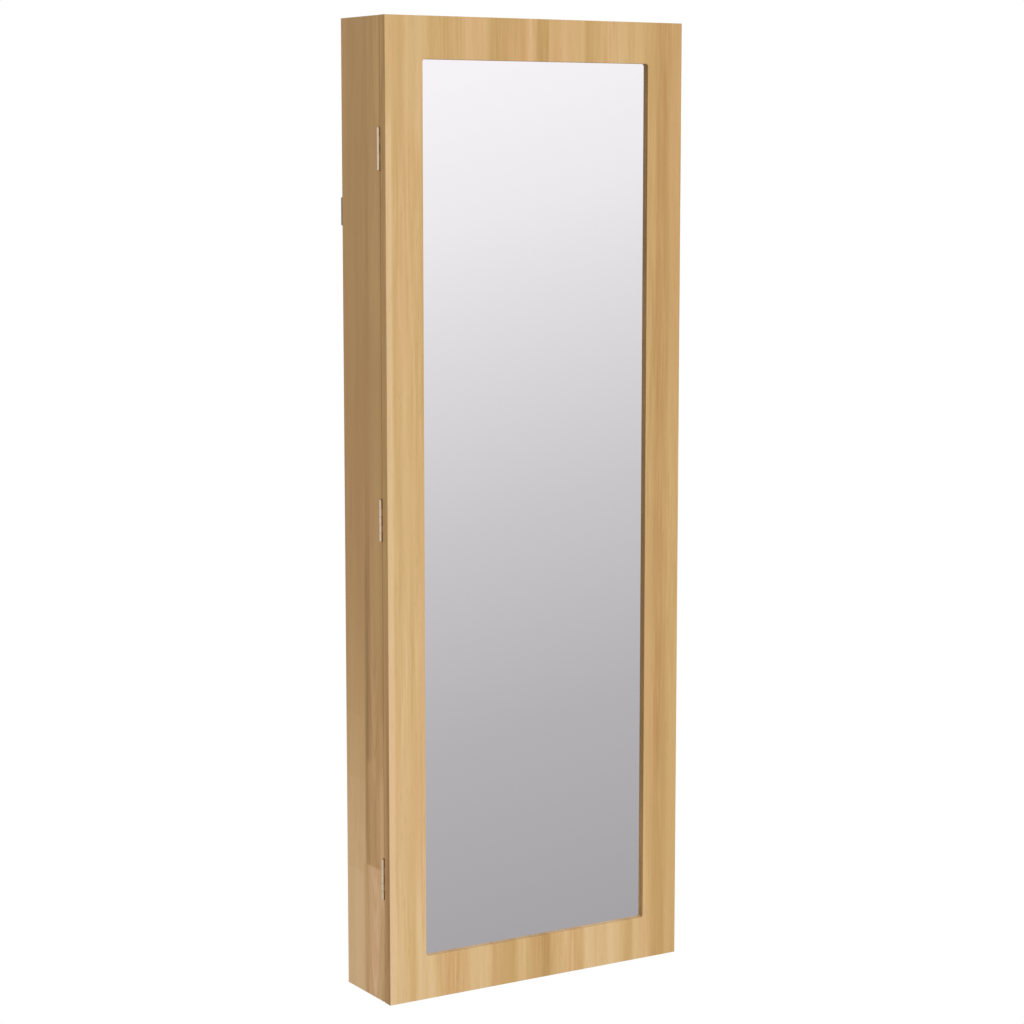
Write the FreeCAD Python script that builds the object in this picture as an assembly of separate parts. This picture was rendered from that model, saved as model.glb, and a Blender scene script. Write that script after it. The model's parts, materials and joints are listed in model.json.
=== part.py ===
# Jewelry cabinet that hangs on a wall, behind a door that carries a full-length mirror.
# Millimetres. +X is to the right of someone facing the mirror, +Y goes into the wall, +Z is up.
# The origin is on the plane of the cabinet's back, at the middle of its width, level with its underside.
import FreeCAD
import Part
import os

V = FreeCAD.Vector
SAME_PLACE = 1e-6           # coordinates closer than this are the same

# Cabinet
WIDTH = 375.0
HEIGHT = 1060.0
CARCASS_DEPTH = 85.0
PANEL = 12.0                # sides, top and bottom
PANEL_ROUND = 0.8           # outer edges of the panels and the door's back edges
BACK_BOARD = 3.0
BACK_LAP = 6.0              # how far the back board laps onto each panel
BOARD_PLAY = 0.25           # around a board in its rebate
LINING = 1.2                # velvet on its card
LINING_PLAY = 0.5

# Door
DOOR_THICK = 12.0
DOOR_GAP = 0.6              # between the door's back and the carcass
DOOR_ROUND = 0.6
FRAME_WIDTH = 45.0          # stiles and top rail round the window
BOTTOM_RAIL = 48.0
WINDOW_ROUND = 3.0
MIRROR_SETBACK = 4.6        # from the door's face to the glass
MIRROR_THICK = 3.0
MIRROR_LAP = 8.0            # how far the glass laps behind the frame
MIRROR_PLAY = 0.5
BACKING_THICK = 3.0
BACKING_LAP = 10.0          # of the backing board beyond the glass
BACKING_SCREW_PITCH = 190.0
DOOR_LINING_MARGIN = 12.0   # backing board left bare round the door's lining

# Butt hinges, their leaves folded together in a mortise
HINGE_INSET = 138.0         # from each end of the cabinet to a hinge's middle
HINGE_LENGTH = 44.0
HINGE_PROUD = 0.8           # pin's centre outside the side panel
KNUCKLE_R = 1.6
KNUCKLES = 5
KNUCKLE_GAP = 0.15          # at each end of a knuckle
KNUCKLE_CLEAR = 0.4         # round the other leaf's knuckles
LEAF_THICK = 0.9
LEAF_WIDTH = 11.0
LEAF_ROUND = 1.5
PIN_R = 0.8
PIN_FAST = 0.02             # clearance in the cabinet leaf, which holds the pin
PIN_RUNNING = 0.05          # clearance in the door leaf, which turns
PIN_HEAD_R = 1.3
PIN_HEAD = 0.4
HINGE_SCREW_INSET = 9.0     # from the leaf's end

# Cutters
OVERRUN = 1.0               # how far a cutter runs past the face that it opens

# Fasteners
SCREW_R = 1.0
SCREW_HEAD_R = 2.0
SCREW_LONG = 10.0
SCREW_SHORT = 6.0
SCREW_TIP = 1.6
SCREW_FIT = 0.05
SCREW_TIP_R = 0.25
CROSS_REACH = 1.3           # of the head's cross recess, from its middle
CROSS_WIDTH = 0.5
CROSS_DEPTH = 0.6
DOWEL_R = 3.0
DOWEL_IN_SIDE = 8.0
DOWEL_IN_PANEL = 20.0
DOWEL_INSET = 20.0          # from the carcass's front and from the wall
DOWEL_FIT = 0.05
DOWEL_END = 0.3             # room past a dowel's end
NAIL_R = 0.7
NAIL_HEAD_R = 1.5
NAIL_HEAD = 0.6
NAIL_LENGTH = 14.0
NAIL_PITCH = 150.0
NAIL_FROM_CORNER = 90.0     # along the top and bottom panels
NAIL_FIT = 0.05

# Hanging plates on the back, each with a keyhole for a screw in the wall
HANGER_DROP = 189.0         # from the cabinet's top
HANGER_HEIGHT = 31.0
HANGER_WIDTH = 24.0
HANGER_THICK = 2.5
HANGER_ROUND = 2.0
HANGER_SCREW_INSET = 6.5    # from the plate's ends
KEYHOLE_R = 4.5
KEYHOLE_SLOT_R = 2.25
KEYHOLE_RISE = 10.0         # from the round hole's middle to the slot's end
KEYHOLE_INSET = 18.0        # from the cabinet's side
KEYHOLE_LIFT = 10.0         # from the plate's lower end
KEYHOLE_ROOM = 1.2          # round the screw's head, behind the plate

# Wall rails and the necklace rail
RAIL_HEIGHT = 40.0
RAIL_THICK = 12.0
WALL_HOLE_R = 2.75
WALL_HOLE_SPAN = 256.0
NECKLACE_RAIL_DROP = 26.0   # from the upper wall rail to the necklace rail
NECKLACE_RAIL_HEIGHT = 24.0
PEG_R = 2.5
PEG_BALL_R = 4.0
PEG_REACH = 22.0            # from the rail to the ball's centre
PEG_IN_RAIL = 6.0
PEG_CLIMB = 4.8             # of the ball's centre over that reach
PEG_PITCH = 30.0
PEG_MARGIN = 10.0           # from the dowels in the necklace rail, and from the door rail's ends
PEG_FIT = 0.05

# Shelves
SHELF_THICK = 9.0
SHELF_FRONT = 61.0          # from the wall to a shelf's front edge
SHELF_FIRST = 130.0         # underside of the lowest shelf
SHELF_PITCH = 120.0
SHELF_PLAY = 0.3
GUARD_THICK = 2.0
GUARD_HEIGHT = 40.0
GUARD_IN_GROOVE = 4.0
GUARD_ROUND = 0.5
GUARD_SETBACK = 3.0         # from the shelf's front edge
GUARD_PLAY = 0.15
SHELF_PIN_R = 2.5
SHELF_PIN_IN = 8.0
SHELF_PIN_OUT = 8.0
SHELF_PIN_COLLAR_R = 4.0
SHELF_PIN_COLLAR = 1.0
SHELF_PIN_INSET = 12.0      # from the shelf's front and back edges
SHELF_PIN_FIT = 0.05

# Ring tray, with padded rolls that grip the rings between them
ROLLS = 6
ROLL_R = 12.0
ROLL_GAP = 0.6
ROLL_END_PLAY = 1.0
TRAY_WALL = 6.0
TRAY_BASE = 3.0
TRAY_DEPTH = 19.0

# Bracelet rod, which lifts out of open cradles
ROD_R = 6.0
ROD_CLEAR = 0.3
ROD_END_PLAY = 0.6
ROD_RISE = 90.0             # from the ring tray to the rod's centre
ROD_FROM_WALL = 43.0        # halfway between the two linings
CRADLE_WIDTH = 14.0
CRADLE_END_WALL = 2.0
CRADLE_HALF = 11.0
CRADLE_BELOW = 12.0
CRADLE_ABOVE = 7.0

# Magnetic catches and bumpers
CATCH_INSET = 60.0          # from the top and bottom panels to a catch's middle
CATCH_WIDTH = 12.0
CATCH_DEPTH = 15.0
CATCH_BLOCK = 26.0
CATCH_FLANGE = 3.0
CATCH_LENGTH = 46.0
CATCH_SCREW_INSET = 5.0
MAGNET_WIDTH = 6.0
MAGNET_LENGTH = 20.0
MAGNET_DEPTH = 11.0
MAGNET_PROUD = 1.0
MAGNET_PLAY = 0.1
STRIKE_GAP = 0.2
STRIKE_THICK = 1.2
STRIKE_WIDTH = 10.0
STRIKE_LENGTH = 44.0
STRIKE_ROUND = 2.5
STRIKE_SCREW_INSET = 5.0
BUMPER_R = 4.0
BUMPER_THICK = 0.5
BUMPER_INSET = 30.0
FINGER_R = 9.0
FINGER_LENGTH = 90.0

# Fittings inside the door
EARRING_DROP = 100.0        # from the door's top to the earring panel
EARRING_THICK = 3.0
EARRING_ROWS = 7
EARRING_ROW_PITCH = 42.0
EARRING_PAIR_PITCH = 32.0
EARRING_PAIR = 10.0         # between the two holes of a pair
EARRING_HOLE_R = 1.0
EARRING_EDGE = 16.0
EARRING_WIDTH = 270.0
EARRING_ROUND = 6.0
POST_R = 4.0
POST_LENGTH = 10.0
POST_INSET = 8.0
DOOR_RAIL_DROP = 146.0      # from the earring panel to the door's peg rail, past the bracelets
DOOR_RAIL_HEIGHT = 22.0
DOOR_RAIL_THICK = 10.0
DOOR_PEG_REACH = 11.0
DOOR_TRAY_RISE = 60.0
DOOR_TRAY_HEIGHT = 50.0
DOOR_TRAY_DEPTH = 18.0
DOOR_TRAY_WALL = 2.5
DOOR_TRAY_SCREW_DROP = 14.0
DOOR_TRAY_SCREW_INSET = 30.0

# Planes and edges that pieces share
X_OUT = WIDTH / 2
X_IN = X_OUT - PANEL
FRONT = -CARCASS_DEPTH
DOOR_BACK = FRONT - DOOR_GAP
DOOR_FRONT = DOOR_BACK - DOOR_THICK
FLOOR = PANEL
CEILING = HEIGHT - PANEL
LINING_BACK = -BACK_BOARD
LINING_FRONT = LINING_BACK - LINING
HINGE_X = -X_OUT - HINGE_PROUD
HINGE_Y = DOOR_BACK + KNUCKLE_R
MORTISE_BOTTOM = HINGE_Y + KNUCKLE_R
HINGE_SCREW_X = HINGE_X + (KNUCKLE_R + KNUCKLE_CLEAR + LEAF_WIDTH) / 2
HINGE_MIDDLES = {"lower": HINGE_INSET, "middle": HEIGHT / 2, "upper": HEIGHT - HINGE_INSET}
GLASS_FRONT = DOOR_FRONT + MIRROR_SETBACK
GLASS_BACK = GLASS_FRONT + MIRROR_THICK
BACKING_FRONT = DOOR_BACK + BACKING_THICK
DOOR_LINING_FRONT = BACKING_FRONT + LINING
GLASS_X = X_OUT - FRAME_WIDTH + MIRROR_LAP
GLASS_Z = FRAME_WIDTH - MIRROR_LAP
BACKING_X = GLASS_X + BACKING_LAP
BACKING_Z = GLASS_Z - BACKING_LAP
HANGER_TOP = HEIGHT - HANGER_DROP
KEYHOLE_X = X_OUT - KEYHOLE_INSET
KEYHOLE_Z = HANGER_TOP - HANGER_HEIGHT + KEYHOLE_LIFT
UPPER_RAIL_BOTTOM = CEILING - RAIL_HEIGHT
LOWER_RAIL_TOP = FLOOR + RAIL_HEIGHT
NECKLACE_RAIL_TOP = UPPER_RAIL_BOTTOM - NECKLACE_RAIL_DROP
NECKLACE_RAIL_FRONT = LINING_FRONT - RAIL_THICK
SHELF_NAMES = ("lower", "middle", "upper")
SHELVES = {name: SHELF_FIRST + i * SHELF_PITCH for i, name in enumerate(SHELF_NAMES)}
GUARDED_SHELVES = ("lower", "middle")
GUARD_BACK = -SHELF_FRONT + GUARD_SETBACK + GUARD_THICK
TRAY_BOTTOM = SHELVES["upper"] + SHELF_THICK
ROLL_PITCH = 2 * ROLL_R + ROLL_GAP
TRAY_TOP = TRAY_BOTTOM + 2 * TRAY_WALL + ROLLS * ROLL_PITCH
TRAY_X = X_IN - BOARD_PLAY
ROD_Z = TRAY_TOP + ROD_RISE
CATCH_MIDDLES = (FLOOR + CATCH_INSET, CEILING - CATCH_INSET)
STRIKE_FRONT = DOOR_BACK + STRIKE_THICK
MAGNET_FRONT = STRIKE_FRONT + STRIKE_GAP
CATCH_FRONT = MAGNET_FRONT + MAGNET_PROUD
CATCH_MIDDLE_X = X_IN - CATCH_WIDTH / 2
EARRING_TOP = HEIGHT - EARRING_DROP
EARRING_BOTTOM = EARRING_TOP - 2 * EARRING_EDGE - (EARRING_ROWS - 1) * EARRING_ROW_PITCH
EARRING_BACK = DOOR_LINING_FRONT + POST_LENGTH
DOOR_RAIL_TOP = EARRING_BOTTOM - DOOR_RAIL_DROP
DOOR_RAIL_FRONT = DOOR_LINING_FRONT + DOOR_RAIL_THICK
FITTING_X = EARRING_WIDTH / 2
PEG_SLOPE = PEG_CLIMB / PEG_REACH
NECKLACE_PEG_ROOT = (NECKLACE_RAIL_FRONT, NECKLACE_RAIL_TOP - NECKLACE_RAIL_HEIGHT / 2)
DOOR_PEG_ROOT = (DOOR_RAIL_FRONT, DOOR_RAIL_TOP - DOOR_RAIL_HEIGHT / 2)


def block(x, y, z):
    """A box between two values on each axis, given in either order."""
    low = V(min(x), min(y), min(z))
    return Part.makeBox(abs(x[1] - x[0]), abs(y[1] - y[0]), abs(z[1] - z[0]), low)


def bar(start, end, radius):
    """A round bar between two points."""
    return Part.makeCylinder(radius, (end - start).Length, start, end - start)


def edges_at(shape, axis, value):
    """The edges that lie in the plane where one coordinate has this value."""
    found = []
    for edge in shape.Edges:
        if all(abs(getattr(v.Point, axis) - value) < SAME_PLACE for v in edge.Vertexes):
            found.append(edge)
    return found


def along_y(edges):
    """Those of the edges that run along Y."""
    return [e for e in edges if abs(e.Vertexes[0].Y - e.Vertexes[-1].Y) > SAME_PLACE]


def plate(x, y, z, radius):
    """A board across Y whose four corners are rounded."""
    solid = block(x, y, z)
    return solid.makeFillet(radius, along_y(solid.Edges))


def spread(low, high, pitch):
    """Evenly spaced values from low to high, about a pitch apart."""
    steps = max(1, round((high - low) / pitch))
    return [low + (high - low) * i / steps for i in range(steps + 1)]


def placed(solid, point, towards):
    """A solid made along +Z from the origin, turned and moved to a point."""
    solid.Placement = FreeCAD.Placement(point, FreeCAD.Rotation(V(0, 0, 1), towards))
    return solid


def screw(head, towards, length):
    """A countersunk screw: the middle of its head's face, its direction and its length."""
    cone = SCREW_HEAD_R - SCREW_R
    solid = Part.makeCone(SCREW_HEAD_R, SCREW_R, cone)
    solid = solid.fuse(Part.makeCylinder(SCREW_R, length - SCREW_TIP - cone, V(0, 0, cone)))
    solid = solid.fuse(Part.makeCone(SCREW_R, SCREW_TIP_R, SCREW_TIP, V(0, 0, length - SCREW_TIP)))
    long = (-CROSS_REACH, CROSS_REACH)
    short = (-CROSS_WIDTH / 2, CROSS_WIDTH / 2)
    solid = solid.cut(block(long, short, (-OVERRUN, CROSS_DEPTH)))
    solid = solid.cut(block(short, long, (-OVERRUN, CROSS_DEPTH)))
    return placed(solid.removeSplitter(), head, towards)


def screw_hole(head, towards, length):
    """The countersunk hole that a screw lies in."""
    cone = SCREW_HEAD_R - SCREW_R
    mouth = Part.makeCylinder(SCREW_HEAD_R + SCREW_FIT, OVERRUN, V(0, 0, -OVERRUN))
    sink = Part.makeCone(SCREW_HEAD_R + SCREW_FIT, SCREW_R + SCREW_FIT, cone)
    shank = Part.makeCylinder(SCREW_R + SCREW_FIT, length + SCREW_FIT)
    return placed(mouth.fuse([sink, shank]), head, towards)


def screws(spots):
    return Part.makeCompound([screw(*spot) for spot in spots])


def drilled(shape, cutters):
    return shape.cut(cutters) if cutters else shape


def screw_holes(spots):
    return [screw_hole(*spot) for spot in spots]


# ---- places of the pegs and the fasteners, shared by each piece and its holes

def peg_xs(reach):
    return spread(-reach, reach, PEG_PITCH)


NECKLACE_PEG_XS = peg_xs(X_IN - DOWEL_IN_PANEL - PEG_MARGIN)
DOOR_PEG_XS = peg_xs(FITTING_X - PEG_MARGIN)


def dowel_spots(side):
    """Start and end of each dowel in one side panel, from inside the panel towards the middle."""
    depths = (-DOWEL_INSET, FRONT + DOWEL_INSET)
    spots = [(y, z) for z in (FLOOR - PANEL / 2, CEILING + PANEL / 2) for y in depths]
    rail_y = -BACK_BOARD - RAIL_THICK / 2
    spots += [(rail_y, FLOOR + RAIL_HEIGHT / 2), (rail_y, CEILING - RAIL_HEIGHT / 2)]
    spots += [(LINING_FRONT - RAIL_THICK / 2, NECKLACE_RAIL_TOP - NECKLACE_RAIL_HEIGHT / 2)]
    outer = side * (X_IN + DOWEL_IN_SIDE)
    inner = side * (X_IN - DOWEL_IN_PANEL)
    return [(V(outer, y, z), V(inner, y, z)) for y, z in spots]


def dowel_holes():
    holes = []
    for side in (-1, 1):
        room = V(side * DOWEL_END, 0, 0)
        holes += [bar(a + room, b - room, DOWEL_R + DOWEL_FIT) for a, b in dowel_spots(side)]
    return holes


def shelf_pin_spots(side):
    """Middle of each shelf pin on the side panel's inner face."""
    depths = (LINING_FRONT - SHELF_PIN_INSET, -SHELF_FRONT + SHELF_PIN_INSET)
    return [
        V(side * X_IN, y, bottom - SHELF_PIN_COLLAR_R)
        for bottom in SHELVES.values()
        for y in depths
    ]


def nail_spots():
    """Middle of each nail's head, on the back board's rear face."""
    x = X_IN + BACK_LAP / 2
    low = FLOOR - BACK_LAP / 2
    high = CEILING + BACK_LAP / 2
    reach = x - NAIL_FROM_CORNER
    sides = [V(s * x, 0, z) for s in (-1, 1) for z in spread(low + BACK_LAP, high - BACK_LAP, NAIL_PITCH)]
    ends = [V(px, 0, z) for z in (low, high) for px in spread(-reach, reach, NAIL_PITCH)]
    return sides + ends


def hinge_screw_spots(towards):
    """Screws of the three leaves: towards +1 into the cabinet, -1 into the door."""
    face = HINGE_Y + towards * (KNUCKLE_R - LEAF_THICK)
    reach = HINGE_LENGTH / 2 - HINGE_SCREW_INSET
    return [
        (V(HINGE_SCREW_X, face, middle + dz), V(0, towards, 0), SCREW_LONG)
        for middle in HINGE_MIDDLES.values()
        for dz in (-reach, reach)
    ]


def hanger_screw_spots(side):
    """Into the side panel, halfway between the back board's edge and the outer face."""
    heights = (HANGER_TOP - HANGER_SCREW_INSET, HANGER_TOP - HANGER_HEIGHT + HANGER_SCREW_INSET)
    x = side * (X_IN + (BACK_LAP + PANEL) / 2)
    return [(V(x, HANGER_THICK, z), V(0, -1, 0), SCREW_LONG) for z in heights]


def catch_screw_spots():
    reach = CATCH_LENGTH / 2 - CATCH_SCREW_INSET
    y = CATCH_FRONT + CATCH_DEPTH / 2
    return [
        (V(X_IN - CATCH_FLANGE, y, middle + dz), V(1, 0, 0), SCREW_LONG)
        for middle in CATCH_MIDDLES
        for dz in (-reach, reach)
    ]


def cradle_screw_spots(side):
    return [(V(side * (X_IN - CRADLE_END_WALL), -ROD_FROM_WALL, ROD_Z), V(side, 0, 0), SCREW_LONG)]


def tray_screw_spots(side):
    y = LINING_FRONT - TRAY_BASE - (TRAY_DEPTH - TRAY_BASE) / 2
    heights = (TRAY_BOTTOM + TRAY_WALL + ROLL_PITCH, TRAY_TOP - TRAY_WALL - ROLL_PITCH)
    x = side * (TRAY_X - TRAY_WALL)
    return [(V(x, y, z), V(side, 0, 0), SCREW_LONG + BOARD_PLAY) for z in heights]


def strike_screw_spots():
    reach = STRIKE_LENGTH / 2 - STRIKE_SCREW_INSET
    return [
        (V(CATCH_MIDDLE_X, STRIKE_FRONT, middle + dz), V(0, -1, 0), SCREW_LONG)
        for middle in CATCH_MIDDLES
        for dz in (-reach, reach)
    ]


def backing_screw_spots():
    x = BACKING_X - BACKING_LAP / 2
    low = BACKING_Z + BACKING_LAP / 2
    high = HEIGHT - low
    sides = [(s * x, z) for s in (-1, 1) for z in spread(low, high, BACKING_SCREW_PITCH)]
    ends = [(0, low), (0, high)]
    return [(V(px, BACKING_FRONT, z), V(0, -1, 0), SCREW_LONG) for px, z in sides + ends]


def post_places():
    x = FITTING_X - POST_INSET
    low = EARRING_BOTTOM + POST_INSET
    high = EARRING_TOP - POST_INSET
    return [(s * x, z) for s in (-1, 1) for z in (low, (low + high) / 2, high)]


def door_long_screw_spots():
    """From the backing board's glass side into the posts, and into the peg rail near its ends."""
    xs = (sum(DOOR_PEG_XS[:2]) / 2, sum(DOOR_PEG_XS[-2:]) / 2)
    middle = DOOR_RAIL_TOP - DOOR_RAIL_HEIGHT / 2
    spots = post_places() + [(x, middle) for x in xs]
    return [(V(x, DOOR_BACK, z), V(0, 1, 0), SCREW_LONG) for x, z in spots]


def door_short_screw_spots():
    """Through the earring panel into its posts, and through the door tray into the backing board."""
    face = EARRING_BACK + EARRING_THICK
    panel = [(V(x, face, z), V(0, -1, 0), SCREW_SHORT) for x, z in post_places()]
    reach = FITTING_X - DOOR_TRAY_SCREW_INSET
    z = DOOR_TRAY_RISE + DOOR_TRAY_HEIGHT - DOOR_TRAY_SCREW_DROP
    face = DOOR_LINING_FRONT + DOOR_TRAY_WALL
    return panel + [(V(x, face, z), V(0, -1, 0), SCREW_SHORT) for x in (-reach, 0, reach)]


# ---- carcass

def board_rebate():
    """The space behind the panels that the back board lies in."""
    x = X_IN + BACK_LAP
    return block((-x, x), (OVERRUN, -BACK_BOARD), (FLOOR - BACK_LAP, CEILING + BACK_LAP))


def nail_holes():
    holes = []
    for p in nail_spots():
        mouth = p + V(0, OVERRUN, 0)
        holes.append(bar(mouth, p - V(0, NAIL_LENGTH + NAIL_FIT, 0), NAIL_R + NAIL_FIT))
        holes.append(bar(mouth, p - V(0, NAIL_HEAD, 0), NAIL_HEAD_R + NAIL_FIT))
    return holes


def mortise(middle):
    """The notch in the left side's front edge that takes one folded hinge."""
    half = HINGE_LENGTH / 2 + PIN_HEAD + KNUCKLE_CLEAR
    span = (middle - half, middle + half)
    outside = -X_OUT - OVERRUN
    seat_x = (outside, HINGE_X + LEAF_WIDTH + BOARD_PLAY)
    seat = block(seat_x, (FRONT - OVERRUN, MORTISE_BOTTOM), span)
    pocket_x = (outside, HINGE_X + KNUCKLE_R + KNUCKLE_CLEAR)
    return seat.fuse(block(pocket_x, (FRONT - OVERRUN, MORTISE_BOTTOM + KNUCKLE_CLEAR), span))


def side_panel(side):
    panel = block((side * X_IN, side * X_OUT), (0, FRONT), (0, HEIGHT))
    panel = panel.makeFillet(PANEL_ROUND, edges_at(panel, "x", side * X_OUT))
    pin_depth = V(side * (SHELF_PIN_IN + SHELF_PIN_FIT), 0, 0)
    cutters = [board_rebate()] + dowel_holes() + nail_holes()
    cutters += [bar(p, p + pin_depth, SHELF_PIN_R + SHELF_PIN_FIT) for p in shelf_pin_spots(side)]
    cutters += screw_holes(cradle_screw_spots(side) + tray_screw_spots(side) + hanger_screw_spots(side))
    if side < 0:
        cutters += [mortise(middle) for middle in HINGE_MIDDLES.values()]
        cutters += screw_holes(hinge_screw_spots(1))
    else:
        low = V(X_OUT, FRONT, (HEIGHT - FINGER_LENGTH) / 2)
        cutters += [bar(low, low + V(0, 0, FINGER_LENGTH), FINGER_R)]
        cutters += screw_holes(catch_screw_spots())
    return drilled(panel, cutters)


def end_panel(z, cutters=()):
    panel = block((-X_IN, X_IN), (0, FRONT), z)
    return drilled(panel, [board_rebate()] + dowel_holes() + nail_holes() + list(cutters))


def guard_groove(top):
    half = GUARD_PLAY
    y = (GUARD_BACK + half, GUARD_BACK - GUARD_THICK - half)
    return block((-X_OUT, X_OUT), y, (top - GUARD_IN_GROOVE, top + OVERRUN))


def bottom_panel():
    return end_panel((0, FLOOR), [guard_groove(FLOOR)])


def wall_holes():
    """The four screw holes to the wall, through the rails and the back board."""
    heights = (FLOOR + RAIL_HEIGHT / 2, CEILING - RAIL_HEIGHT / 2)
    reach = V(0, -BACK_BOARD - RAIL_THICK - 2 * OVERRUN, 0)
    points = [V(s * WALL_HOLE_SPAN / 2, OVERRUN, z) for s in (-1, 1) for z in heights]
    return [bar(p, p + reach, WALL_HOLE_R) for p in points]


def back_board():
    lap = BACK_LAP - BOARD_PLAY
    board = block((-X_IN - lap, X_IN + lap), (0, -BACK_BOARD), (FLOOR - lap, CEILING + lap))
    room_r = KEYHOLE_R + KEYHOLE_ROOM
    rooms = [keyhole(side, (OVERRUN, -BACK_BOARD - OVERRUN), room_r, room_r) for side in (-1, 1)]
    return drilled(board, wall_holes() + nail_holes() + rooms)


def keyhole(side, y, round_r, slot_r):
    """A round hole that a screw's head enters, and the slot above it that the head slides behind."""
    low = V(side * KEYHOLE_X, max(y), KEYHOLE_Z)
    high = low + V(0, 0, KEYHOLE_RISE)
    depth = V(0, min(y) - max(y), 0)
    slot = block((low.x - slot_r, low.x + slot_r), y, (low.z, high.z))
    return bar(low, low + depth, round_r).fuse([slot, bar(high, high + depth, slot_r)])


def hanging_plates():
    solids = []
    for side in (-1, 1):
        x = (side * X_OUT, side * (X_OUT - HANGER_WIDTH))
        solid = plate(x, (0, HANGER_THICK), (HANGER_TOP - HANGER_HEIGHT, HANGER_TOP), HANGER_ROUND)
        holes = [keyhole(side, (-OVERRUN, HANGER_THICK + OVERRUN), KEYHOLE_R, KEYHOLE_SLOT_R)]
        solids.append(solid.cut(holes + screw_holes(hanger_screw_spots(side))))
    return Part.makeCompound(solids)


def wall_rail(bottom):
    y = (-BACK_BOARD, -BACK_BOARD - RAIL_THICK)
    rail = block((-X_IN, X_IN), y, (bottom, bottom + RAIL_HEIGHT))
    return drilled(rail, wall_holes() + dowel_holes())


def back_lining():
    x = X_IN - LINING_PLAY
    z = (LOWER_RAIL_TOP + LINING_PLAY, UPPER_RAIL_BOTTOM - LINING_PLAY)
    return block((-x, x), (LINING_BACK, LINING_FRONT), z)


def dowels():
    return Part.makeCompound([bar(a, b, DOWEL_R) for s in (-1, 1) for a, b in dowel_spots(s)])


def nails():
    solids = []
    for p in nail_spots():
        head = bar(p, p - V(0, NAIL_HEAD, 0), NAIL_HEAD_R)
        solids.append(head.fuse(bar(p, p - V(0, NAIL_LENGTH, 0), NAIL_R)).removeSplitter())
    return Part.makeCompound(solids)


# ---- shelves

def shelf(name):
    x = X_IN - SHELF_PLAY
    bottom = SHELVES[name]
    board = block((-x, x), (LINING_FRONT, -SHELF_FRONT), (bottom, bottom + SHELF_THICK))
    return board.cut(guard_groove(bottom + SHELF_THICK)) if name in GUARDED_SHELVES else board


def shelf_guard(top):
    x = X_IN - 2 * SHELF_PLAY
    bottom = top - GUARD_IN_GROOVE
    guard = block((-x, x), (GUARD_BACK, GUARD_BACK - GUARD_THICK), (bottom, bottom + GUARD_HEIGHT))
    return guard.makeFillet(GUARD_ROUND, edges_at(guard, "z", bottom + GUARD_HEIGHT))


def shelf_pins():
    solids = []
    for side in (-1, 1):
        for p in shelf_pin_spots(side):
            pin = bar(p + V(side * SHELF_PIN_IN, 0, 0), p - V(side * SHELF_PIN_OUT, 0, 0), SHELF_PIN_R)
            collar = bar(p, p - V(side * SHELF_PIN_COLLAR, 0, 0), SHELF_PIN_COLLAR_R - SHELF_PIN_FIT)
            rest = block(
                (p.x, p.x - side * SHELF_PIN_OUT),
                (p.y - SHELF_PIN_R, p.y + SHELF_PIN_R),
                (p.z, p.z + SHELF_PIN_COLLAR_R - SHELF_PIN_FIT),
            )
            solids.append(pin.fuse([collar, rest]).removeSplitter())
    return Part.makeCompound(solids)


# ---- pegs for necklaces

def peg_axis(x, root, reach):
    """Foot and ball of a peg that climbs away from a rail's face: root is (y, z) there."""
    outwards = reach / abs(reach)
    foot = V(x, root[0] - outwards * PEG_IN_RAIL, root[1] - PEG_SLOPE * PEG_IN_RAIL)
    return foot, V(x, root[0] + reach, root[1] + PEG_SLOPE * abs(reach))


def pegs(xs, root, reach):
    solids = []
    for x in xs:
        foot, ball = peg_axis(x, root, reach)
        solids.append(bar(foot, ball, PEG_R).fuse(Part.makeSphere(PEG_BALL_R, ball)).removeSplitter())
    return Part.makeCompound(solids)


def peg_rail(half, y, z, xs, root, reach, cutters):
    """A rail between the heights z, drilled for its pegs and for the fasteners that hold it."""
    holes = []
    for x in xs:
        foot, ball = peg_axis(x, root, reach)
        holes.append(bar(foot - (ball - foot).normalize() * PEG_FIT, ball, PEG_R + PEG_FIT))
    return drilled(block((-half, half), y, z), holes + cutters)


def necklace_rail():
    z = (NECKLACE_RAIL_TOP - NECKLACE_RAIL_HEIGHT, NECKLACE_RAIL_TOP)
    y = (LINING_FRONT, NECKLACE_RAIL_FRONT)
    return peg_rail(X_IN, y, z, NECKLACE_PEG_XS, NECKLACE_PEG_ROOT, -PEG_REACH, dowel_holes())


def door_peg_rail():
    z = (DOOR_RAIL_TOP - DOOR_RAIL_HEIGHT, DOOR_RAIL_TOP)
    y = (DOOR_LINING_FRONT, DOOR_RAIL_FRONT)
    holes = screw_holes(door_long_screw_spots())
    return peg_rail(FITTING_X, y, z, DOOR_PEG_XS, DOOR_PEG_ROOT, DOOR_PEG_REACH, holes)


# ---- ring tray and bracelet rod

def ring_tray():
    outer = block((-TRAY_X, TRAY_X), (LINING_FRONT, LINING_FRONT - TRAY_DEPTH), (TRAY_BOTTOM, TRAY_TOP))
    x = TRAY_X - TRAY_WALL
    z = (TRAY_BOTTOM + TRAY_WALL, TRAY_TOP - TRAY_WALL)
    inner = block((-x, x), (LINING_FRONT - TRAY_BASE, LINING_FRONT - TRAY_DEPTH - OVERRUN), z)
    return outer.cut([inner] + screw_holes(tray_screw_spots(-1) + tray_screw_spots(1)))


def ring_roll(i):
    """A roll, counted from the lowest."""
    x = TRAY_X - TRAY_WALL - ROLL_END_PLAY
    y = LINING_FRONT - TRAY_BASE - ROLL_GAP / 2 - ROLL_R
    z = TRAY_BOTTOM + TRAY_WALL + (i + 0.5) * ROLL_PITCH
    return bar(V(-x, y, z), V(x, y, z), ROLL_R)


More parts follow.
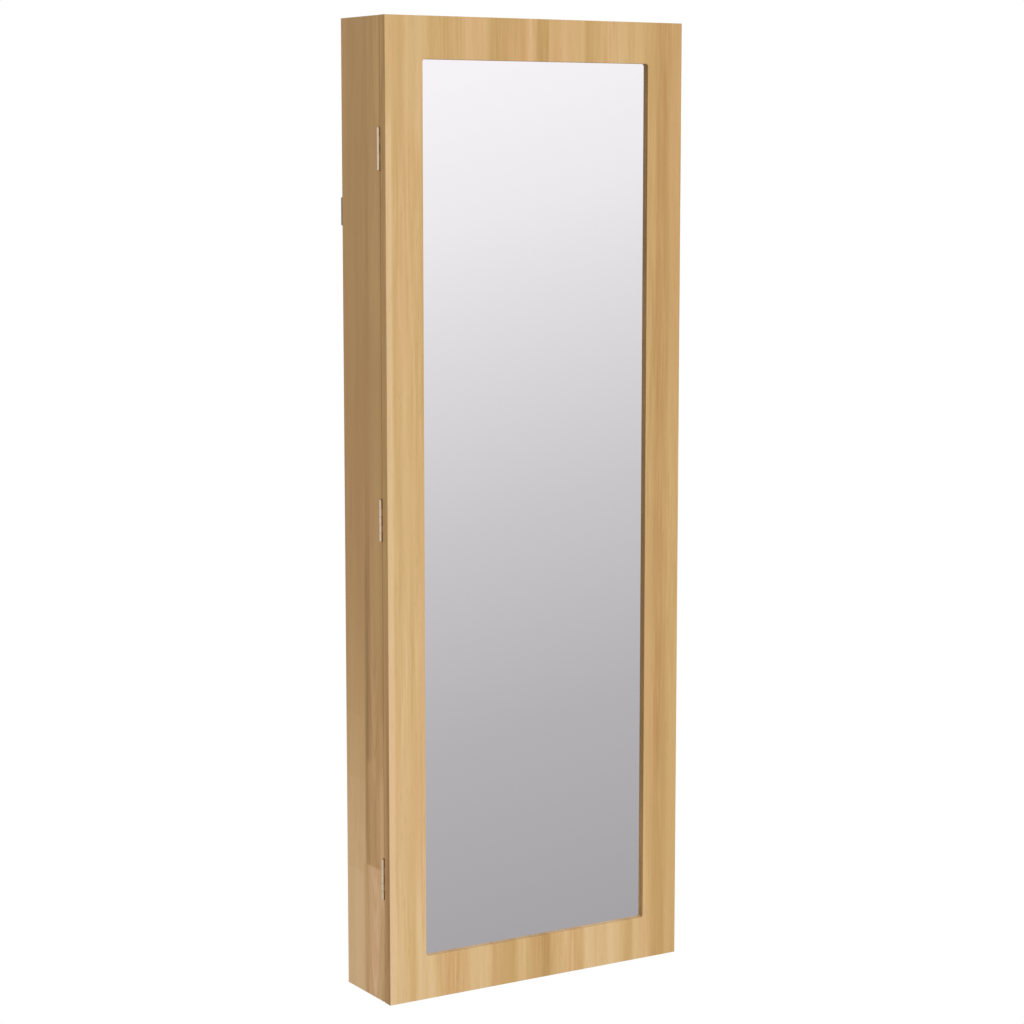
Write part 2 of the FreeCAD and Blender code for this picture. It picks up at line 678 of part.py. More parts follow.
def cradle(side):
    """An open-topped seat for one end of the rod."""
    x = (side * X_IN, side * (X_IN - CRADLE_WIDTH))
    y = -ROD_FROM_WALL
    seat_r = ROD_R + ROD_CLEAR
    solid = block(x, (y - CRADLE_HALF, y + CRADLE_HALF), (ROD_Z - CRADLE_BELOW, ROD_Z + CRADLE_ABOVE))
    inner = V(side * (X_IN - CRADLE_WIDTH - OVERRUN), y, ROD_Z)
    wall = V(side * (X_IN - CRADLE_END_WALL), y, ROD_Z)
    slot = bar(inner, wall, seat_r)
    mouth_z = (ROD_Z, ROD_Z + CRADLE_ABOVE + OVERRUN)
    slot = slot.fuse(block((inner.x, wall.x), (y - seat_r, y + seat_r), mouth_z))
    return solid.cut([slot] + screw_holes(cradle_screw_spots(side)))


def bracelet_rod():
    x = X_IN - CRADLE_END_WALL - ROD_END_PLAY
    rod = bar(V(-x, -ROD_FROM_WALL, ROD_Z), V(x, -ROD_FROM_WALL, ROD_Z), ROD_R)
    return rod.makeChamfer(ROD_CLEAR, edges_at(rod, "x", -x) + edges_at(rod, "x", x))


# ---- catches, bumpers

def catch_body(middle):
    y = (CATCH_FRONT, CATCH_FRONT + CATCH_DEPTH)
    half = CATCH_BLOCK / 2
    body = block((X_IN, X_IN - CATCH_WIDTH), y, (middle - half, middle + half))
    half = CATCH_LENGTH / 2
    body = body.fuse(block((X_IN, X_IN - CATCH_FLANGE), y, (middle - half, middle + half)))
    return body.removeSplitter().cut([magnet(middle, MAGNET_PLAY)] + screw_holes(catch_screw_spots()))


def magnet(middle, play=0.0):
    half_x = MAGNET_WIDTH / 2 + play
    half_z = MAGNET_LENGTH / 2 + play
    y = (MAGNET_FRONT, MAGNET_FRONT + MAGNET_DEPTH + play)
    x = (CATCH_MIDDLE_X - half_x, CATCH_MIDDLE_X + half_x)
    return block(x, y, (middle - half_z, middle + half_z))


def strike(middle):
    half_x = STRIKE_WIDTH / 2
    half_z = STRIKE_LENGTH / 2
    x = (CATCH_MIDDLE_X - half_x, CATCH_MIDDLE_X + half_x)
    solid = plate(x, (DOOR_BACK, STRIKE_FRONT), (middle - half_z, middle + half_z), STRIKE_ROUND)
    return solid.cut(screw_holes(strike_screw_spots()))


def bumpers():
    x = X_IN + PANEL / 2
    spots = [V(x, FRONT, z) for z in (BUMPER_INSET, HEIGHT - BUMPER_INSET)]
    return Part.makeCompound([bar(p, p - V(0, BUMPER_THICK, 0), BUMPER_R) for p in spots])


# ---- hinges

def hinge_leaf(middle, side):
    """One leaf with its knuckles: side +1 is screwed to the cabinet, -1 to the door."""
    low = middle - HINGE_LENGTH / 2
    y = (HINGE_Y + side * (KNUCKLE_R - LEAF_THICK), HINGE_Y + side * KNUCKLE_R)
    leaf = block((HINGE_X, HINGE_X + LEAF_WIDTH), y, (low, low + HINGE_LENGTH))
    leaf = leaf.makeFillet(LEAF_ROUND, along_y(edges_at(leaf, "x", HINGE_X + LEAF_WIDTH)))
    pitch = HINGE_LENGTH / KNUCKLES
    own = []
    notches = []
    for k in range(KNUCKLES):
        z = (low + k * pitch, low + (k + 1) * pitch)
        if (k % 2 == 0) == (side > 0):
            foot = V(HINGE_X, HINGE_Y, z[0] + KNUCKLE_GAP)
            own.append(bar(foot, V(HINGE_X, HINGE_Y, z[1] - KNUCKLE_GAP), KNUCKLE_R))
        else:
            clear = KNUCKLE_R + KNUCKLE_CLEAR
            across = (HINGE_X - OVERRUN, HINGE_X + clear)
            ends = (z[0] - KNUCKLE_GAP, z[1] + KNUCKLE_GAP)
            notches.append(block(across, (HINGE_Y - clear, HINGE_Y + clear), ends))
    bore_r = PIN_R + (PIN_FAST if side > 0 else PIN_RUNNING)
    top = low + HINGE_LENGTH
    bore = bar(V(HINGE_X, HINGE_Y, low - OVERRUN), V(HINGE_X, HINGE_Y, top + OVERRUN), bore_r)
    leaf = leaf.cut(notches).fuse(own).removeSplitter()
    return leaf.cut([bore] + screw_holes(hinge_screw_spots(side)))


def hinge_pin(middle):
    half = HINGE_LENGTH / 2
    foot = V(HINGE_X, HINGE_Y, middle - half)
    top = V(HINGE_X, HINGE_Y, middle + half)
    rise = V(0, 0, PIN_HEAD)
    pin = bar(foot - rise, top + rise, PIN_R)
    heads = [bar(foot - rise, foot, PIN_HEAD_R), bar(top, top + rise, PIN_HEAD_R)]
    return pin.fuse(heads).removeSplitter()


# ---- door

def door_frame():
    frame = block((-X_OUT, X_OUT), (DOOR_BACK, DOOR_FRONT), (0, HEIGHT))
    window_x = X_OUT - FRAME_WIDTH
    window_z = (BOTTOM_RAIL, HEIGHT - FRAME_WIDTH)
    outline = edges_at(frame, "y", DOOR_BACK)
    frame = frame.makeFillet(PANEL_ROUND, outline)
    through = (DOOR_BACK + OVERRUN, DOOR_FRONT - OVERRUN)
    frame = frame.cut(plate((-window_x, window_x), through, window_z, WINDOW_ROUND))
    frame = frame.makeFillet(DOOR_ROUND, edges_at(frame, "y", DOOR_FRONT))
    seat_z = (GLASS_Z, HEIGHT - GLASS_Z)
    seat = plate((-GLASS_X, GLASS_X), (DOOR_BACK + OVERRUN, GLASS_FRONT), seat_z, WINDOW_ROUND)
    spots = hinge_screw_spots(-1) + strike_screw_spots() + backing_screw_spots()
    return frame.cut([seat] + screw_holes(spots))


def glass_sized(y):
    """A sheet that lies in the frame's rebate, between two depths."""
    x = GLASS_X - MIRROR_PLAY
    z = GLASS_Z + MIRROR_PLAY
    return plate((-x, x), y, (z, HEIGHT - z), WINDOW_ROUND)


def door_screw_holes():
    return screw_holes(door_long_screw_spots() + door_short_screw_spots())


def backing_board():
    z = (BACKING_Z, HEIGHT - BACKING_Z)
    board = block((-BACKING_X, BACKING_X), (DOOR_BACK, BACKING_FRONT), z)
    return board.cut(door_screw_holes() + screw_holes(backing_screw_spots()))


def door_lining():
    x = BACKING_X - DOOR_LINING_MARGIN
    z = BACKING_Z + DOOR_LINING_MARGIN
    lining = block((-x, x), (BACKING_FRONT, DOOR_LINING_FRONT), (z, HEIGHT - z))
    return lining.cut(door_screw_holes())


def earring_panel():
    y = (EARRING_BACK, EARRING_BACK + EARRING_THICK)
    panel = plate((-FITTING_X, FITTING_X), y, (EARRING_BOTTOM, EARRING_TOP), EARRING_ROUND)
    reach = FITTING_X - EARRING_EDGE - POST_INSET
    half = EARRING_PAIR / 2
    xs = [x + dx for x in spread(-reach, reach, EARRING_PAIR_PITCH) for dx in (-half, half)]
    zs = [EARRING_BOTTOM + EARRING_EDGE + row * EARRING_ROW_PITCH for row in range(EARRING_ROWS)]
    through = (y[0] - OVERRUN, y[1] + OVERRUN)
    holes = [bar(V(x, through[0], z), V(x, through[1], z), EARRING_HOLE_R) for x in xs for z in zs]
    return panel.cut(holes + screw_holes(door_short_screw_spots()))


def earring_posts():
    posts = [bar(V(x, DOOR_LINING_FRONT, z), V(x, EARRING_BACK, z), POST_R) for x, z in post_places()]
    holes = door_screw_holes()
    return Part.makeCompound([post.cut(holes) for post in posts])


def door_tray():
    x = FITTING_X
    y = (DOOR_LINING_FRONT, DOOR_LINING_FRONT + DOOR_TRAY_DEPTH)
    top = DOOR_TRAY_RISE + DOOR_TRAY_HEIGHT
    outer = block((-x, x), y, (DOOR_TRAY_RISE, top))
    wall = DOOR_TRAY_WALL
    inner_z = (DOOR_TRAY_RISE + wall, top + OVERRUN)
    inner = block((-x + wall, x - wall), (y[0] + wall, y[1] - wall), inner_z)
    return outer.cut([inner] + screw_holes(door_short_screw_spots()))


def pieces():
    """Every sub-part by name."""
    made = {
        "side_panel_left": side_panel(-1),
        "side_panel_right": side_panel(1),
        "top_panel": end_panel((CEILING, HEIGHT)),
        "bottom_panel": bottom_panel(),
        "back_panel": back_board(),
        "hanging_rail_upper": wall_rail(UPPER_RAIL_BOTTOM),
        "hanging_rail_lower": wall_rail(FLOOR),
        "back_lining": back_lining(),
        "hanging_plates": hanging_plates(),
        "hanging_plate_screws": screws(hanger_screw_spots(-1) + hanger_screw_spots(1)),
        "carcass_dowels": dowels(),
        "back_panel_nails": nails(),
        "shelf_guard_bottom": shelf_guard(FLOOR),
        "shelf_pins": shelf_pins(),
        "necklace_peg_rail": necklace_rail(),
        "necklace_pegs": pegs(NECKLACE_PEG_XS, NECKLACE_PEG_ROOT, -PEG_REACH),
        "ring_tray": ring_tray(),
        "bracelet_cradle_left": cradle(-1),
        "bracelet_cradle_right": cradle(1),
        "bracelet_rod": bracelet_rod(),
        "catch_body_lower": catch_body(CATCH_MIDDLES[0]),
        "catch_body_upper": catch_body(CATCH_MIDDLES[1]),
        "catch_magnets": Part.makeCompound([magnet(middle) for middle in CATCH_MIDDLES]),
        "strike_plates": Part.makeCompound([strike(middle) for middle in CATCH_MIDDLES]),
        "door_bumpers": bumpers(),
        "door_frame": door_frame(),
        "mirror_glass": glass_sized((GLASS_FRONT, GLASS_BACK)),
        "mirror_packing_sheet": glass_sized((GLASS_BACK, DOOR_BACK)),
        "mirror_backing_board": backing_board(),
        "door_lining": door_lining(),
        "backing_board_screws": screws(backing_screw_spots()),
        "earring_panel": earring_panel(),
        "earring_panel_posts": earring_posts(),
        "door_peg_rail": door_peg_rail(),
        "door_pegs": pegs(DOOR_PEG_XS, DOOR_PEG_ROOT, DOOR_PEG_REACH),
        "door_tray": door_tray(),
        "door_fitting_long_screws": screws(door_long_screw_spots()),
        "door_fitting_short_screws": screws(door_short_screw_spots()),
        "door_hardware_screws": screws(hinge_screw_spots(-1) + strike_screw_spots()),
    }
    hardware = hinge_screw_spots(1) + catch_screw_spots()
    for side in (-1, 1):
        hardware += cradle_screw_spots(side) + tray_screw_spots(side)
    made["cabinet_hardware_screws"] = screws(hardware)
    for name in SHELVES:
        made["shelf_" + name] = shelf(name)
    for name in GUARDED_SHELVES:
        made["shelf_guard_" + name] = shelf_guard(SHELVES[name] + SHELF_THICK)
    for i in range(ROLLS):
        made[f"ring_roll_{i + 1}"] = ring_roll(i)
    for name, middle in HINGE_MIDDLES.items():
        made[f"hinge_{name}_cabinet_leaf"] = hinge_leaf(middle, 1)
        made[f"hinge_{name}_door_leaf"] = hinge_leaf(middle, -1)
        made[f"hinge_{name}_pin"] = hinge_pin(middle)
    return made


os.makedirs("parts", exist_ok=True)
for node, shape in pieces().items():
    solids = shape.Solids
    if not solids or not all(s.isValid() and s.Volume > 0 for s in solids):
        raise ValueError("not a valid solid: " + node)
    shape.exportStep(f"parts/{node}.step")
    print(node, len(solids), round(sum(s.Volume for s in solids), 1))
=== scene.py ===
# Looks of the jewelry mirror cabinet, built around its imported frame. Metres, in the frame's axes:
# +X is to the right of someone facing the mirror, +Y goes into the wall, +Z is up.
import bpy
import json
import math
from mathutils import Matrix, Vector, noise


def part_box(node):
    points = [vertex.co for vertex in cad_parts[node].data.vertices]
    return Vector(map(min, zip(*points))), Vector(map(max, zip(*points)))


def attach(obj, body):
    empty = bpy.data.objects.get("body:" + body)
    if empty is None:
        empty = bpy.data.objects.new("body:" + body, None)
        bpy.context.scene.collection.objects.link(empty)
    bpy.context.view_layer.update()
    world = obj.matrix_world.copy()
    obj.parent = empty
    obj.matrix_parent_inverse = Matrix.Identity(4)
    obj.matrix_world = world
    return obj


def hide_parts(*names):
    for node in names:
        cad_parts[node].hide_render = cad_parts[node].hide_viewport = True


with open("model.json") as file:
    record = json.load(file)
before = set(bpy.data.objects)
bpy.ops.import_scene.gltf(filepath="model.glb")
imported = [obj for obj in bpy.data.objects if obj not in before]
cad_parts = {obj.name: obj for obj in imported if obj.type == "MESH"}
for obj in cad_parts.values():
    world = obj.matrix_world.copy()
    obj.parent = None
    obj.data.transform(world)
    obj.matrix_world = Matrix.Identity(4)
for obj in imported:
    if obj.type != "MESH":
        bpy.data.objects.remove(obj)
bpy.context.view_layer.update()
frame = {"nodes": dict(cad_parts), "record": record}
MM = 0.001
WHITE = (1.0, 1.0, 1.0)
DOOR_LOW, DOOR_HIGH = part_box("door_frame")


# ---- node graphs

NOISE_SPREAD = (1.0, 1.7, 2.3)  # how far a noise's shift moves it along X, Y and Z


class Graph:
    """A node tree, with short names for what the materials and the world are made of."""

    def __init__(self, tree):
        self.tree = tree
        self.coords = None

    def node(self, kind, inputs=(), **settings):
        made = self.tree.nodes.new("ShaderNode" + kind)
        for key, value in settings.items():
            setattr(made, key, value)
        for key, value in dict(inputs).items():
            self.feed(made.inputs[key], value)
        return made

    def feed(self, socket, value):
        """Links a socket, or sets it to a constant."""
        if isinstance(value, bpy.types.NodeSocket):
            self.tree.links.new(value, socket)
        else:
            socket.default_value = value

    def point(self):
        """The surface point in the row frame, in metres."""
        if self.coords is None:
            self.coords = self.node("TexCoord").outputs["Object"]
        return self.coords

    def axes(self):
        """The X, Y and Z of the surface point."""
        return self.node("SeparateXYZ", {0: self.point()}).outputs

    def math(self, operation, a, b=0.0, clamp=False):
        made = self.node("Math", {0: a, 1: b}, operation=operation, use_clamp=clamp)
        return made.outputs[0]

    def plus(self, *values):
        total = values[0]
        for value in values[1:]:
            total = self.math("ADD", total, value)
        return total

    def times(self, a, b):
        return self.math("MULTIPLY", a, b)

    def scaled(self, vector, size):
        return self.node("VectorMath", {0: vector, "Scale": size}, operation="SCALE").outputs[0]

    def ranged(self, value, low, high, to=(0.0, 1.0), kind="SMOOTHSTEP"):
        """How far a value is from low to high, mapped onto a range."""
        inputs = {"Value": value, "From Min": low, "From Max": high}
        inputs.update({"To Min": to[0], "To Max": to[1]})
        return self.node("MapRange", inputs, interpolation_type=kind).outputs["Result"]

    def slope(self, value, row):
        """What changes between two places in mm: (low, high, amount below, amount above)."""
        low, high, below, above = row
        return self.ranged(value, low * MM, high * MM, (below, above))

    def within(self, value, low, high, soft):
        """1 between two values and 0 outside, over soft edges."""
        rise = self.ranged(value, low - soft / 2, low + soft / 2)
        fall = self.ranged(value, high - soft / 2, high + soft / 2, (1.0, 0.0))
        return self.times(rise, fall)

    def noise(self, per_metre, detail=2.0, rough=0.5, shift=0.0, vector=None):
        """Noise about zero, with this many features to the metre along X, Y and Z."""
        start = tuple(shift * share for share in NOISE_SPREAD)
        inputs = {"Vector": vector or self.point(), "Location": start, "Scale": per_metre}
        mapped = self.node("Mapping", inputs).outputs[0]
        inputs = {"Vector": mapped, "Scale": 1.0, "Detail": detail, "Roughness": rough}
        return self.math("SUBTRACT", self.node("TexNoise", inputs).outputs["Fac"], 0.5)

    def ramp(self, value, stops):
        """A colour between stops, each (place, colour)."""
        made = self.node("ValToRGB", {"Fac": value})
        elements = made.color_ramp.elements
        while len(elements) < len(stops):
            elements.new(0.5)
        for element, (place, colour) in zip(elements, stops):
            element.position = place
            element.color = (*colour, 1.0)
        return made.outputs["Color"]

    def blend(self, fac, a, b):
        """A mix of two colours, each a socket or a constant."""
        made = self.node("Mix", {0: fac}, data_type="RGBA")
        for key, value in ((6, a), (7, b)):
            self.feed(made.inputs[key], (*value, 1.0) if isinstance(value, tuple) else value)
        return made.outputs[2]

    def bump(self, height, depth, strength):
        inputs = {"Height": height, "Distance": depth, "Strength": strength}
        return self.node("Bump", inputs).outputs["Normal"]


class Finish(Graph):
    """A material that ends in one Principled shader, whose constants are set on its own sockets."""

    def __init__(self, name, **constants):
        self.material = bpy.data.materials.new(name)
        self.material.use_nodes = True
        super().__init__(self.material.node_tree)
        self.shader = self.tree.nodes["Principled BSDF"]
        self.set(**constants)

    def set(self, **values):
        for key, value in values.items():
            socket = self.shader.inputs[key.replace("_", " ")]
            self.feed(socket, (*value, 1.0) if isinstance(value, tuple) else value)


# ---- oak-pattern film

OAK_PALE = (0.745, 0.520, 0.275)
OAK_LIGHT = (0.657, 0.430, 0.190)
OAK_MID = (0.574, 0.355, 0.138)
OAK_DARK = (0.473, 0.270, 0.097)
OAK_EDGE = (0.290, 0.170, 0.058)
OAK_STOPS = ((0.0, OAK_PALE), (0.25, OAK_LIGHT), (0.5, OAK_MID), (0.75, OAK_DARK), (1.0, OAK_EDGE))
SIDE_STOPS = (
    (0.0, (0.755, 0.515, 0.272)),
    (0.25, (0.672, 0.430, 0.203)),
    (0.5, (0.562, 0.340, 0.137)),
    (0.75, (0.434, 0.251, 0.088)),
    (1.0, (0.290, 0.166, 0.056)),
)
OLIVE = (0.985, 0.985, 0.950)
PINKISH = (1.018, 0.970, 1.000)
TINT_STOPS = ((0.0, OLIVE), (0.5, WHITE), (1.0, PINKISH))

# Noise of the film: features to the metre across and along the grain, detail, roughness
FILM_LAYERS = {
    "planks": (26, 1.1, 1.0, 0.5),
    "streaks": (120, 4.5, 3.0, 0.6),
    "lines": (430, 13.0, 3.0, 0.5),
    "marked": (34, 5.0, 1.0, 0.5),
    "pores": (1500, 55, 1.0, 0.5),
    "hue": (34, 2.2, 2.0, 0.5),
}
SWAY_COUNTS = (9, 1.6)
SWAY = 7 * MM               # how far the grain strays sideways
PLANK_TONE = 0.46
STREAK_TONE = 0.38
LINE_TONES = (0.08, 0.75)   # where the lines are faint and where they are marked
MARKED_RANGE = (-0.14, 0.18)
HUE_RANGE = (-0.16, 0.16)
PORE_RANGE = (0.12, 0.3)
PORE_TONE = 0.3
FILM_ROUGHNESS = 0.52
FILM_RELIEF = 0.12 * MM


def along(grain, across_count, along_count):
    """Features to the metre on each axis, where the grain runs along one of them."""
    return tuple(along_count if axis == grain else across_count for axis in "XYZ")


def swayed(g, grain):
    """The surface point, moved a little so that the grain isn't straight."""
    mapped = g.node("Mapping", {"Vector": g.point(), "Scale": along(grain, *SWAY_COUNTS)})
    inputs = {"Vector": mapped.outputs[0], "Scale": 1.0, "Detail": 1.0}
    drift = g.scaled(g.node("TexNoise", inputs).outputs["Color"], SWAY)
    return g.node("VectorMath", {0: g.point(), 1: drift}, operation="ADD").outputs[0]


def oak(name, grain="Z", base=0.4, shift=0.0, features=None, stops=OAK_STOPS, fine=1.0):
    """Broad planks of tone, streaks, fine lines and pores, all along the grain."""
    g = Finish(name, Specular_IOR_Level=0.25)
    place = swayed(g, grain)
    film = {}
    for layer, (across_count, along_count, detail, roughness) in FILM_LAYERS.items():
        counts = along(grain, across_count, along_count)
        film[layer] = g.noise(counts, detail, roughness, shift, place)
    planks = g.times(film["planks"], PLANK_TONE)
    streaks = g.times(film["streaks"], STREAK_TONE * fine)
    marked = g.ranged(film["marked"], *MARKED_RANGE, tuple(tone * fine for tone in LINE_TONES))
    tone = g.plus(base, planks, streaks, g.times(film["lines"], marked))
    if features:
        tone = features(g, tone)
    colour = g.ramp(g.math("ADD", tone, 0.0, clamp=True), stops)
    tint = g.ramp(g.ranged(film["hue"], *HUE_RANGE), TINT_STOPS)
    colour = g.node("VectorMath", {0: colour, 1: tint}, operation="MULTIPLY").outputs[0]
    pores = g.ranged(film["pores"], *PORE_RANGE)
    g.set(Base_Color=g.blend(g.times(pores, PORE_TONE), colour, OAK_EDGE))
    g.set(Roughness=g.plus(FILM_ROUGHNESS, g.times(film["streaks"], 0.12), g.times(pores, 0.1)))
    height = g.plus(g.times(film["lines"], 0.6), g.times(pores, -0.5), g.times(film["streaks"], 0.4))
    g.set(Normal=g.bump(height, FILM_RELIEF, 0.5))
    return g.material


# ---- the door's own grain

# Bands of tone across the rails and stiles: each its middle and width in mm, and its depth
TOP_BANDS = (
    (-150, 30, -0.17), (-114, 14, 0.16), (-82, 20, -0.08), (-49, 26, 0.24), (-27, 18, 0.18),
    (5, 14, 0.21), (37, 20, -0.14), (53, 14, -0.16), (66, 8, 0.10), (86, 14, -0.10), (103, 14, -0.10),
)
BOTTOM_BANDS = (
    (-144, 24, -0.20), (-113, 12, 0.02), (-80, 18, -0.14), (-43, 32, 0.21), (2, 30, 0.19),
    (14, 14, 0.17), (37, 12, -0.06), (56, 14, 0.17), (82, 42, -0.14), (104, 14, -0.15),
    (122, 10, 0.20), (142, 12, -0.12),
)
STILE_BANDS = ((-166, 9, -0.07), (-151, 14, -0.02), (163.5, 18, 0.13))
BAND_EDGE = 0.8             # how soft a band's edges are, as a share of its width
BAND_EDGE_LIMIT = 9         # mm; width above which they grow no softer
BAND_SWAY_COUNTS = (60, 60, 5)
BAND_SWAY = 9 * MM
BAND_REACH = 150 * MM       # how far the rails' bands fade into the stiles

FRAME_WIDTH = 45 * MM       # stiles and top rail
BOTTOM_RAIL = 48 * MM
WINDOW_X = DOOR_HIGH.x - FRAME_WIDTH
WINDOW_LOW = DOOR_LOW.z + BOTTOM_RAIL
WINDOW_HIGH = DOOR_HIGH.z - FRAME_WIDTH
ARRIS = 0.7 * MM            # how far the rounded edges reach into a face
ARRIS_START = 0.2 * MM      # where the tone of one face starts to give way to the next one's
FACE_START = 0.3 * MM
# Painted shade on the window's inner edges: how much darker they are
REVEAL_SHADE = 0.6
REVEAL_SOFT = 0.4 * MM

# Painted shade: the right stile is darker, a little less so low down
RIGHT_STILE_SHADE = 0.16           # of the right stile
RIGHT_FROM = 12 * MM        # it starts this far inside the window's edge
RIGHT_TO = 8 * MM           # and is whole this far outside it
STRIP_TONE = -0.33          # of a pale strip of the face along the hinge side
STRIP = 5.0 * MM
STRIP_FADE = 4.5 * MM
EDGE_TONE = 0.41            # of the edge beside the hinges, with more of it near the face
EDGE_NEAR = 4 * MM
EDGE_FAR = 9 * MM
EDGE_FAR_SHARE = 0.15

# What changes with the height: two places in mm, and the tone, or share of it, below and above
DOOR_FOOT = (100, 600, -0.07, 0.0)
RIGHT_FOOT = (120, 480, 0.8, 1.0)
STRIP_HEAD = (900, 980, 1.0, 0.4)
EDGE_FOOT = (240, 500, 0.24, 0.0)
EDGE_HEAD = (930, 1030, 0.0, 0.1)


def bands(g, across, places):
    """Tone of several soft bands."""
    total = 0.0
    for middle, width, depth in places:
        low = (middle - width / 2) * MM
        soft = min(width, BAND_EDGE_LIMIT) * BAND_EDGE * MM
        total = g.plus(g.times(g.within(across, low, low + width * MM, soft), depth), total)
    return total


def hinge_strip(g, x, z):
    """The face is paler along the hinge side."""
    start = DOOR_LOW.x + STRIP
    strip = g.ranged(x, start, start + STRIP_FADE, (STRIP_TONE, 0.0))
    return g.times(strip, g.slope(z, STRIP_HEAD))


def hinge_edge(g, x, y, z):
    """The edge beside the hinges is darker than the face, most of all near the face and low down."""
    darker = g.plus(g.slope(z, EDGE_FOOT), g.slope(z, EDGE_HEAD))
    shares = (1.0, EDGE_FAR_SHARE)
    darker = g.times(darker, g.ranged(y, DOOR_LOW.y + EDGE_NEAR, DOOR_LOW.y + EDGE_FAR, shares))
    side = g.ranged(x, DOOR_LOW.x + ARRIS_START, DOOR_LOW.x + ARRIS, (1.0, 0.0))
    return g.times(side, g.plus(EDGE_TONE, darker))


def painted_reveal_shade(g, x, y, z):
    """Painted shade: darker on the window's edges, but for the lower one, which looks up into the
    light.
    """
    inside = g.within(x, -WINDOW_X - ARRIS, WINDOW_X + ARRIS, REVEAL_SOFT)
    inside = g.times(inside, g.within(z, WINDOW_LOW + ARRIS, WINDOW_HIGH + ARRIS, REVEAL_SOFT))
    reveal_shade_depth = g.ranged(y, DOOR_LOW.y + ARRIS_START, DOOR_LOW.y + ARRIS, (0.0, REVEAL_SHADE))
    return g.times(inside, reveal_shade_depth)


def door_features(g, tone):
    x, y, z = g.axes()
    across = g.plus(x, g.times(g.noise(BAND_SWAY_COUNTS, detail=3.0), BAND_SWAY))
    near_top = g.ranged(z, WINDOW_HIGH - BAND_REACH, WINDOW_HIGH)
    near_bottom = g.ranged(z, WINDOW_LOW, WINDOW_LOW + BAND_REACH, (1.0, 0.0))
    top = g.times(bands(g, across, TOP_BANDS), near_top)
    bottom = g.times(bands(g, across, BOTTOM_BANDS), near_bottom)
    stiles = bands(g, across, STILE_BANDS)
    # painted shade on the right stile
    right = g.ranged(x, WINDOW_X - RIGHT_FROM, WINDOW_X + RIGHT_TO, (0.0, RIGHT_STILE_SHADE))
    right = g.times(right, g.slope(z, RIGHT_FOOT))
    foot = g.slope(z, DOOR_FOOT)
    face = g.ranged(y, DOOR_LOW.y + FACE_START, DOOR_LOW.y + ARRIS, (1.0, 0.0))
    strip = g.times(hinge_strip(g, x, z), face)
    edge = g.times(hinge_edge(g, x, y, z), g.math("SUBTRACT", 1.0, face))
    # the window's edges get painted shade here
    return g.plus(tone, top, bottom, stiles, right, foot, g.plus(strip, edge), painted_reveal_shade(g, x, y, z))


# ---- the left side's own grain

# Staves and streaks: front and back edge from the wall, low and high end, in mm, their tone, and
# how softly they end along the grain
SIDE_STAVES = (
    (-44, 3, -1, 309, -0.04, 3),
    (-44, 3, -1, 238, -0.04, 3),
    (-44, 3, -1, 189, -0.03, 3),
    (-44, 3, -1, 136, -0.06, 3),
    (-76, -47, -1, 146, -0.36, 4),
    (-92, -76, -1, 135, -0.30, 60),
    (-47, -44, -1, 146, -0.16, 50),
    (-84, -58, 730, 1075, -0.09, 120),
    (-54, -44, 760, 900, -0.07, 80),
    (-84, -72, 950, 1075, -0.08, 60),
    (-50, -43, 170, 480, 0.12, 70),
    (-62, -53, 120, 420, -0.08, 60),
    (-78, -68, 146, 240, -0.16, 50),
    (-67, -61, 240, 330, -0.12, 30),
    (-86, -77, 120, 250, -0.20, 40),
    (-5, 3, -1, 260, -0.08, 60),
    (-38, -22, -1, 130, -0.08, 30),
    (-73, -67, 60, 130, -0.16, 20),
    (-87, -77, 100, 310, -0.16, 40),
    (-44, -38, -1, 146, 0.12, 5),
    (-70, -54, -1, 146, -0.10, 30),
)
STAVE_EDGE = 0.5            # how soft a stave's edges are, as a share of its width
STAVE_EDGE_LIMIT = 6.0      # mm
STAVE_SWAY_COUNTS = (60, 60, 4)
STAVE_SWAY = 5 * MM
EDGE_SOFT = 5 * MM          # of the rear stave and the streak
REAR_STAVE = (-44, 3)       # mm from the wall
REAR_FOOT = (90, 540, -0.39, 0.0)
STREAK = (-57, -47)         # mm from the wall; dark, starts bluntly and fades upwards
STREAK_START = (255, 269, 0.0, 1.0)
STREAK_FADE = (390, 620, 0.20, 0.0)

# Crown-cut figure in the front stave
FIGURE_STAVE = (-92, -41)   # mm from the wall
FIGURE_SOFT = 4 * MM
FIGURE_MIDDLE = -64 * MM
FIGURE_SPAN = 8 * MM
FIGURE_RISE = 38 * MM
FIGURE_LINES = 1.3          # features of its noise to each rise
FIGURE_TONE = (100, 180, 0.9, 0.5)
FIGURE_HEAD = (250, 520, 1.0, 0.0)


def crown_figure(g, y, z, across):
    """Nested arches, which fade upwards."""
    beside = g.math("DIVIDE", g.plus(across, -FIGURE_MIDDLE), FIGURE_SPAN)
    arch = g.plus(g.times(beside, beside), g.math("DIVIDE", z, -FIGURE_RISE))
    inputs = {"W": arch, "Scale": FIGURE_LINES, "Detail": 2.0}
    figure = g.node("TexNoise", inputs, noise_dimensions="1D").outputs["Fac"]
    arched = g.times(g.math("SUBTRACT", figure, 0.5), g.slope(z, FIGURE_TONE))
    front, back = FIGURE_STAVE
    stave = g.within(y, front * MM, back * MM, FIGURE_SOFT)
    return g.times(arched, g.times(stave, g.slope(z, FIGURE_HEAD)))


